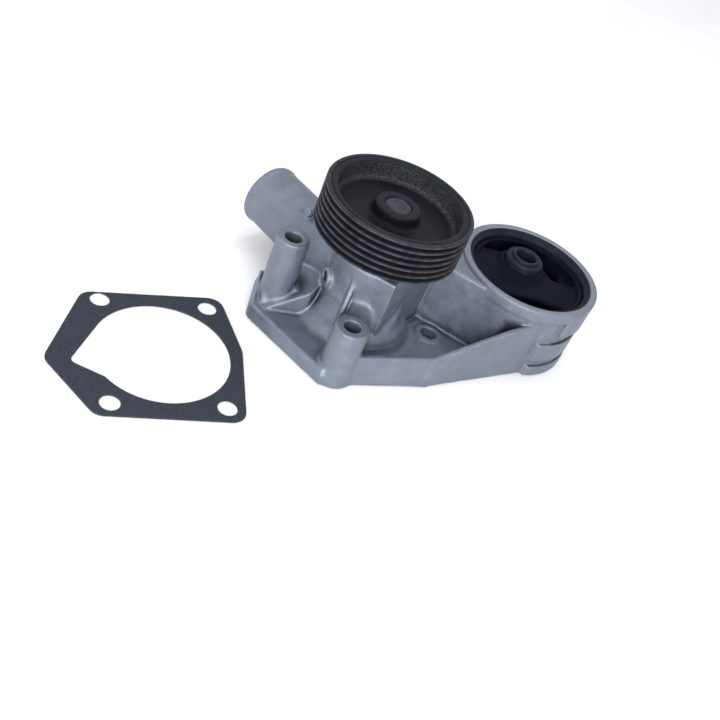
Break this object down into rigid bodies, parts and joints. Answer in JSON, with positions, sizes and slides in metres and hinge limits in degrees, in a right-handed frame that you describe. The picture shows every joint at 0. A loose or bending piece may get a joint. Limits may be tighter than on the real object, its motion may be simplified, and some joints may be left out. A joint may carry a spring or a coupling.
{
  "type": "water pump",
  "caption": "Belt-driven engine coolant pump: cast housing with flange, side inlet pipe and a large engine-mount eye, ribbed pulley, shaft, seal, impeller and a loose gasket.",
  "frame": {"origin": "on the shaft axis in the plane of the mounting face, at the centre of the four mounting bolts", "axes": "+Z along the shaft out through the pulley; X and Y along the sides of the mounting-bolt rectangle, with the inlet pipe towards -X and the engine-mount eye towards +Y"},
  "size_m": [0.1632, 0.2922, 0.0845],
  "materials": {
    "cast_aluminium": "cast, matt",
    "bearing_steel": "ground",
    "pulley_coat": "thin satin black coat over pressed steel",
    "impeller_iron": "as cast",
    "seal_brass": "drawn",
    "seal_carbon": "lapped carbon",
    "seal_ceramic": "lapped ceramic",
    "cage_polymer": "moulded",
    "black_rubber": "moulded",
    "mount_metal": "dark coated",
    "gasket_paper": "fibrous sheet"
  },
  "bodies": {
    "housing": {"pump_housing": "cast_aluminium", "bearing_outer_race": "bearing_steel", "bearing_seal_front": "black_rubber", "bearing_seal_rear": "black_rubber", "seal_cup": "seal_brass", "seal_bellows": "black_rubber", "seal_spring": "bearing_steel", "seal_carbon_ring": "seal_carbon", "mount_outer_sleeve": "mount_metal", "mount_rubber": "black_rubber"},
    "rotor": {"shaft": "bearing_steel", "pulley": "pulley_coat", "impeller": "impeller_iron", "seal_ceramic_ring": "seal_ceramic", "seal_seat_boot": "black_rubber", "slinger": "bearing_steel"},
    "front_row": {"balls_front": "bearing_steel", "cage_front": "cage_polymer"},
    "rear_row": {"balls_rear": "bearing_steel", "cage_rear": "cage_polymer"},
    "mount_centre": {"mount_core": "mount_metal", "mount_inner_sleeve": "bearing_steel"},
    "loose_gasket": {"gasket": "gasket_paper"}
  },
  "joints": [
    {"name": "shaft_spin", "type": "hinge", "parent": "housing", "child": "rotor", "pos_m": [0, 0, 0.05], "axis": [0, 0, 1], "continuous": true},
    {"name": "front_row_spin", "type": "hinge", "parent": "housing", "child": "front_row", "pos_m": [0, 0, 0.057], "axis": [0, 0, 1], "continuous": true},
    {"name": "rear_row_spin", "type": "hinge", "parent": "housing", "child": "rear_row", "pos_m": [0, 0, 0.045], "axis": [0, 0, 1], "continuous": true},
    {"name": "mount_twist", "type": "hinge", "parent": "housing", "child": "mount_centre", "pos_m": [0.0284, 0.0946, 0.025], "axis": [0, 0, 1], "range_deg": [-6, 6], "stiffness_Nm_per_rad": 30},
    {"name": "gasket_lift", "type": "slide", "parent": "housing", "child": "loose_gasket", "axis": [0, 0, 1], "range_m": [0, 0.12]}
  ],
  "couplings": [
    {"joint": "front_row_spin", "follows": "shaft_spin", "ratio": 0.392},
    {"joint": "rear_row_spin", "follows": "shaft_spin", "ratio": 0.392}
  ]
}
